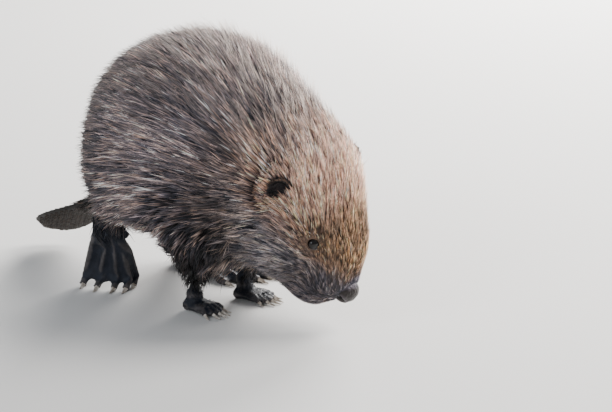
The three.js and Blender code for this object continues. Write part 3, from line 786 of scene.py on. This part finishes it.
hairy = depth / COAT_DEPTH["trunk"]
rise = depth * 1.25
long = (9 + 19 * hairy) * chance.uniform(0.85, 1.15, len(roots))
ways = unit(ways * long[:, None] * MM + (roots[wisps][wisp] - roots) * 0.7)
ways = unit(ways - normals * (ways * normals).sum(1)[:, None])
# Painted rim light: wisps facing up, and wisps over the nape facing up and left, are drawn paler.
top = eased(normals[:, 2], 0.2, 0.9)
nape = eased(roots[:, 0] / MM, -20, 45) * eased(normals[:, 1] + normals[:, 2], 0.3, 0.9)
nape *= owner != FLESH.index("head")
pale = np.power(np.array((226, 212, 200)) / 255, 2.2)
shades = markings(roots, owner, normals) * 1.1
pale_tips_and_rim_light = (0.1 + 0.28 * top + 0.3 * nape)[:, None]
shades += (pale - shades) * pale_tips_and_rim_light * chance.uniform(0.5, 1.2, (len(roots), 1))
loose = chance.random(len(wisps))[wisp]
proud = -(1.5 + hairy * (1.8 + 4.4 * loose + nape * (3.0 + 5.0 * loose)))
proud *= chance.uniform(0.7, 1.1, len(roots))
bends, tips = lying(roots, normals, ways, long * MM, rise * MM, proud * MM)
data = locks("coat_wisps", roots, normals, uvs, bends, tips,
             np.full(len(roots), WISP_WIDTH * MM), shades)
data.materials.append(coat_look)
shown("coat_wisps", data)

# ---------------------------------------------------------------- eyes and lids
# Small dark wet eyes sit deep behind bare, darkly rimmed lids.
eye_look, tree_eye, shader = material("eye_look", Roughness=0.04, Specular_IOR_Level=0.38)
place = tree_eye.nodes.new("ShaderNodeTexCoord").outputs["Object"]
cloud = node(tree_eye, "ShaderNodeTexNoise", Vector=place, Scale=300.0, Detail=3.0)
iris = ramp(tree_eye, cloud.outputs["Fac"], (0.0012, 0.001, 0.001), (0.007, 0.004, 0.003))
tree_eye.links.new(iris, shader.inputs["Base Color"])
lid_look, tree_lid, shader = material("lid_look", Roughness=0.45, Specular_IOR_Level=0.4)
leather = add_grain(tree_lid, 1800.0, 500.0)
lid_tint = ramp(tree_lid, leather.outputs["Wear"], (0.008, 0.006, 0.006), (0.03, 0.023, 0.02))
lid_colour = combined(tree_lid, "MULTIPLY", lid_tint, attribute(tree_lid, "painted_light"))
tree_lid.links.new(lid_colour, shader.inputs["Base Color"])
add_relief(tree_lid, shader, leather.outputs["Height"], 0.5, 0.0003)
EYE_BALL = 5.0 * MM
LID_RING, LID_THICK = 4.45 * MM, 0.72 * MM
for side, sign, eye in (("right", -1, EYES[0]), ("left", 1, EYES[1])):
    out = Vector(unit(0.05 * HEAD_FORWARD + sign * HEAD_LEFT + 0.16 * HEAD_UP))
    turn = out.to_track_quat("Z", "Y").to_matrix().to_4x4()
    forward = Vector(HEAD_FORWARD)
    forward = (forward - out * forward.dot(out)).normalized()
    turn = Matrix((forward, out.cross(forward), out)).transposed().to_4x4()
    placed = Matrix.Translation(Vector(eye)) @ turn
    ball = bmesh.new()
    bmesh.ops.create_uvsphere(ball, u_segments=40, v_segments=24, radius=EYE_BALL)
    for vert in ball.verts:
        vert.co.z += 0.4 * MM * max(0.0, vert.co.z / EYE_BALL) ** 4
    bmesh.ops.transform(ball, matrix=placed, verts=ball.verts)
    data = bpy.data.meshes.new(f"eyeball_{side}")
    ball.to_mesh(data)
    data.shade_smooth()
    data.materials.append(eye_look)
    piece = shown(f"eyeball_{side}", data)
    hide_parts(f"eye_{side}")
    lids = bmesh.new()
    bmesh.ops.create_circle(lids, segments=12, radius=LID_THICK,
                            matrix=Matrix.Translation((LID_RING, 0, 0))
                            @ Matrix.Rotation(math.pi / 2, 4, "X"))
    bmesh.ops.spin(lids, geom=lids.verts[:] + lids.edges[:], cent=(0, 0, 0), axis=(0, 0, 1),
                   steps=48, angle=math.tau, use_merge=True)
    for vert in lids.verts:
        upper = vert.co.y * -sign > 0
        vert.co.y *= 0.78 if upper else 0.84
        vert.co.x *= 1.08
        vert.co.z += (2.4 - 22 * (vert.co.x / EYE_BALL) ** 2 * 0.03) * MM
    bmesh.ops.recalc_face_normals(lids, faces=lids.faces)
    bmesh.ops.transform(lids, matrix=placed, verts=lids.verts)
    data = bpy.data.meshes.new(f"lids_{side}")
    lids.to_mesh(data)
    data.shade_smooth()
    # Painted highlight: the lower lid is drawn paler and bluer.
    low = eased(-(points_of(data) - eye) @ HEAD_UP / MM, -1.0, 3.0)[:, None]
    colour_attribute(data, "painted_light", 1 + low * (3.4, 3.6, 4.2))
    data.materials.append(lid_look)
    shown(f"lids_{side}", data)

# ---------------------------------------------------------------- nose
# A broad bare nose pad of pebbled black skin, moist, with nostrils set to the sides.
nose_mesh = bpy.data.meshes.new("nose_copy")
merged_copy(["nose"]).to_mesh(nose_mesh)
nose_mesh = modified(nose_mesh, "REMESH", mode="VOXEL", voxel_size=0.0006, use_smooth_shade=True)
nose_mesh = modified(nose_mesh, "SMOOTH", factor=0.6, iterations=8)
nose_look, tree_nose, shader = material("nose_look", Roughness=0.34, Specular_IOR_Level=0.32)
leather = add_grain(tree_nose, 560.0, 210.0)
nose_tint = ramp(tree_nose, leather.outputs["Wear"], (0.005, 0.004, 0.004), (0.034, 0.025, 0.023))
painted_light = combined(tree_nose, "MULTIPLY", nose_tint, attribute(tree_nose, "painted_light", "Vector"))
tree_nose.links.new(painted_light, shader.inputs["Base Color"])
add_relief(tree_nose, shader, leather.outputs["Height"], 0.9, 0.0011)
nose_mesh.materials.clear()
nose_mesh.materials.append(nose_look)
nose_mesh.shade_smooth()
nose_skin = points_of(nose_mesh)
within = in_head(nose_skin) - in_head(NOSE[None])[0]
broad = within * (0.05, 0.2, 0.18) + (0, 0, 0.8)
nose_skin += broad @ np.stack((HEAD_FORWARD, HEAD_LEFT, HEAD_UP)) * MM
within = within + broad
hollow = np.min([np.linalg.norm((within - (4.5, sign * 9.2, -3.0)) / (1.25, 1.0, 0.9), axis=1)
                 for sign in (-1, 1)], axis=0)
pit = np.exp(-(hollow / 3.2) ** 2)
wing = np.exp(-((hollow - 5.2) / 1.5) ** 2)
nose_skin += unit(nose_skin - NOSE) * ((wing * 0.7 - pit * 2.6) * MM)[:, None]
nose_mesh.vertices.foreach_set("co", nose_skin.ravel())
nose_mesh.update()
# Painted light on the nose pad: its upward-facing top and the rims round the nostrils are drawn paler
# and bluer as a sky reflection, and the nostril pits are drawn nearly black as shade.
sky_lit_top = eased(points_of(nose_mesh, "normal")[:, 2], 0.15, 0.95)[:, None]
nose_sheen_and_pit_shade = 1 + sky_lit_top * (8.0, 9.4, 13.0) + wing[:, None] * (2.6, 3.0, 3.8)
nose_sheen_and_pit_shade *= 1 - 0.94 * pit.clip(0, 1)[:, None]
nose_mesh.attributes.new("painted_light", "FLOAT_VECTOR", "POINT").data.foreach_set(
    "vector", nose_sheen_and_pit_shade.ravel().astype(np.float32))
nose_pad = shown("nose_pad", nose_mesh)
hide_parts("nose")

# ---------------------------------------------------------------- whiskers
# Stiff dark tapering bristles in rows on the upper lips, swept back and mostly down.
surface = bvhtree.BVHTree.FromObject(hide, bpy.context.evaluated_depsgraph_get())
rows = [(ahead, up) for ahead in (30, 34, 38, 42) for up in (-13, -9.5, -6, -2.5)]
roots, bends, tips = [], [], []
for sign in (-1, 1):
    for ahead, up in rows:
        start = HEAD + MM * (HEAD_FORWARD * ahead + HEAD_UP * up + HEAD_LEFT * sign * 60)
        hit, facing, _, _ = surface.ray_cast(Vector(start), Vector(-HEAD_LEFT * sign))
        if hit is None:
            continue
        long = chance.uniform(20, 38) * (0.65 + 0.35 * (42 - ahead) / 12)
        sweep = unit(HEAD_LEFT * sign + HEAD_UP * chance.uniform(-0.5, 0.15)
                     - HEAD_FORWARD * chance.uniform(0.1, 0.5))
        root = np.array(hit) - np.array(facing) * 0.6 * MM
        roots.append(root)
        bends.append(root + sweep * long * 0.5 * MM)
        tips.append(root + (sweep - 0.35 * HEAD_FORWARD) * long * MM)
roots, bends, tips = np.array(roots), np.array(bends), np.array(tips)
whisker_look, tree_whisker, shader = material("whisker_look", Roughness=0.4)
grade = ramp(tree_whisker, attribute(tree_whisker, "along", "Fac"),
             (0.02, 0.016, 0.014), (0.16, 0.13, 0.11))
tree_whisker.links.new(grade, shader.inputs["Base Color"])
count = len(roots)
data = locks("whiskers", roots, unit(roots - HEAD), np.full((count, 2), 0.5), bends, tips,
             np.full(count, 0.42 * MM), np.full((count, 3), 0.02), rings=3)
data.materials.append(whisker_look)
shown("whiskers", data)

# ---------------------------------------------------------------- tail scales
# The flat paddle is covered in rows of small overlapping horny plates, above and below.
SCALE_LONG, SCALE_WIDE = 3.7, 4.6
RIM_REACH = 3.4
TAIL_ROOT = np.array((-0.09735, -0.00154, 0.062))
TAIL_TIP = np.array((-0.19135, -0.00454, 0.016))
plate = bmesh.new()
bmesh.ops.create_circle(plate, cap_ends=True, segments=6, radius=1.0)
grown = bmesh.ops.extrude_face_region(plate, geom=plate.faces[:])
raised = [part for part in grown["geom"] if isinstance(part, bmesh.types.BMVert)]
for vert in raised:
    vert.co = (vert.co.x * 0.72, vert.co.y * 0.76, 1.0)
bmesh.ops.recalc_face_normals(plate, faces=plate.faces)
bmesh.ops.triangulate(plate, faces=plate.faces)
plate_points = np.array([vert.co for vert in plate.verts])
plate_faces = np.array([[vert.index for vert in face.verts] for face in plate.faces])
axis = unit(TAIL_TIP - TAIL_ROOT)
flat_across = unit(np.cross(axis, (0, 0, 1)))
long = np.linalg.norm(TAIL_TIP - TAIL_ROOT) / MM
points, sizes = [], []
for row in range(int(long * 0.8 / SCALE_LONG)):
    s = (long * 0.22 + row * SCALE_LONG) * MM
    roll = Matrix.Rotation(math.radians(10 + 22 * s / (long * MM)), 3, Vector(axis))
    out = np.array(roll @ Vector(np.cross(flat_across, axis)))
    across = np.array(roll @ Vector(flat_across))
    for column in range(-8, 9):
        w = (column + 0.5 * (row % 2)) * SCALE_WIDE * MM
        for face in (1, -1):
            start = TAIL_ROOT + axis * s + across * w + out * face * 0.05
            hit, facing, _, _ = surface.ray_cast(Vector(start), Vector(-out * face))
            if hit is None or Vector(out * face).dot(facing) < 0.8:
                continue
            rim = [surface.ray_cast(Vector(start + (axis * a + across * b) * RIM_REACH * MM),
                                    Vector(-out * face))[0] for a, b in ((1, 0), (0, 1), (0, -1))]
            if None in rim:
                continue
            up = unit(np.array(facing) + chance.normal(0, 0.05, 3))
            fore = unit(axis - up * (axis @ up))
            side = np.cross(up, fore)
            size = chance.uniform(0.86, 1.06)
            place = (plate_points[:, :1] * fore * SCALE_LONG * 0.62 * size
                     + plate_points[:, 1:2] * side * SCALE_WIDE * 0.56 * size
                     + plate_points[:, 2:] * (up - fore * 0.25) * 0.55) * MM
            points.append(np.array(hit) + place - up * 0.12 * MM)
            sizes.append(chance.uniform(0.7, 1.35))
points = np.array(points)
index = plate_faces[None] + (np.arange(len(points)) * len(plate_points))[:, None, None]
data = bpy.data.meshes.new("tail_scales")
data.from_pydata(points.reshape(-1, 3).tolist(), [], index.reshape(-1, 3).tolist())
tint = data.attributes.new("tint", "FLOAT", "POINT")
tint.data.foreach_set("value", np.repeat(sizes, len(plate_points)).astype(np.float32))
scale_look, tree_scale, shader = material("scale_look", Roughness=0.58, Specular_IOR_Level=0.15)
leather = add_grain(tree_scale, 1600.0, 240.0)
horn = ramp(tree_scale, leather.outputs["Wear"],
            (0.0100, 0.0063, 0.0046), (0.027, 0.0170, 0.0118), (0.3, 0.75))
toned = combined(tree_scale, "SCALE", horn, attribute(tree_scale, "tint", "Fac"))
tree_scale.links.new(toned, shader.inputs["Base Color"])
add_relief(tree_scale, shader, leather.outputs["Height"], 0.5, 0.0003)
data.materials.append(scale_look)
shown("tail_scales", data)

# ---------------------------------------------------------------- claws
# Long horn claws, blunt and slightly worn, streaked brown and pale.
claw_look, tree_claw, shader = material("claw_look", Roughness=0.38, Specular_IOR_Level=0.5)
place = tree_claw.nodes.new("ShaderNodeTexCoord").outputs["Object"]
streak = node(tree_claw, "ShaderNodeTexNoise", Vector=place, Scale=420.0, Detail=3.0)
horn = ramp(tree_claw, streak.outputs["Fac"], (0.30, 0.25, 0.20), (0.72, 0.66, 0.59), (0.35, 0.7))
tree_claw.links.new(horn, shader.inputs["Base Color"])
add_relief(tree_claw, shader, streak.outputs["Fac"], 0.3, 0.0003)
for name, solid in nodes.items():
    if name.startswith("claw"):
        solid.data.materials.clear()
        solid.data.materials.append(claw_look)

# ---------------------------------------------------------------- stage
# A pale plain floor and soft studio light: a broad key, a fill and a light from behind.
floor_build = bmesh.new()
bmesh.ops.create_grid(floor_build, x_segments=2, y_segments=2, size=6.0)
floor_data = bpy.data.meshes.new("floor")
floor_build.to_mesh(floor_data)
floor_look, _, shader = material("floor_look", Roughness=0.85)
shader.inputs["Base Color"].default_value = (0.72, 0.71, 0.69, 1)
floor_data.materials.append(floor_look)
floor = bpy.data.objects.new("floor", floor_data)
bpy.context.scene.collection.objects.link(floor)
world = bpy.data.worlds.new("studio")
world.use_nodes = True
world.node_tree.nodes["Background"].inputs["Color"].default_value = (0.80, 0.84, 0.90, 1)
world.node_tree.nodes["Background"].inputs["Strength"].default_value = 0.5
bpy.context.scene.world = world


def soft_light(name, size, power, place, colour):
    """A square lamp at a place seen from the body's middle, turned to face it."""
    lamp = bpy.data.lights.new(name, "AREA")
    lamp.shape = "SQUARE"
    lamp.size = size
    lamp.energy = power
    lamp.color = colour
    holder = bpy.data.objects.new(name, lamp)
    bpy.context.scene.collection.objects.link(holder)
    holder.location = BODY_MIDDLE + place
    holder.rotation_euler = (-place).to_track_quat("-Z", "Y").to_euler()


soft_light("key", 1.2, 62, VIEW_UP * 1.4 + VIEW_RIGHT * 1.4 + VIEW_BACK * 0.1, (1.0, 0.97, 0.94))
soft_light("fill", 0.65, 13, VIEW_BACK * 1.5 - VIEW_RIGHT * 1.15 + VIEW_UP * 0.6, (0.90, 0.95, 1.0))
soft_light("rim", 1.0, 100, VIEW_UP * 1.1 + VIEW_RIGHT * 0.8 - VIEW_BACK * 1.4, (1.0, 0.98, 0.96))
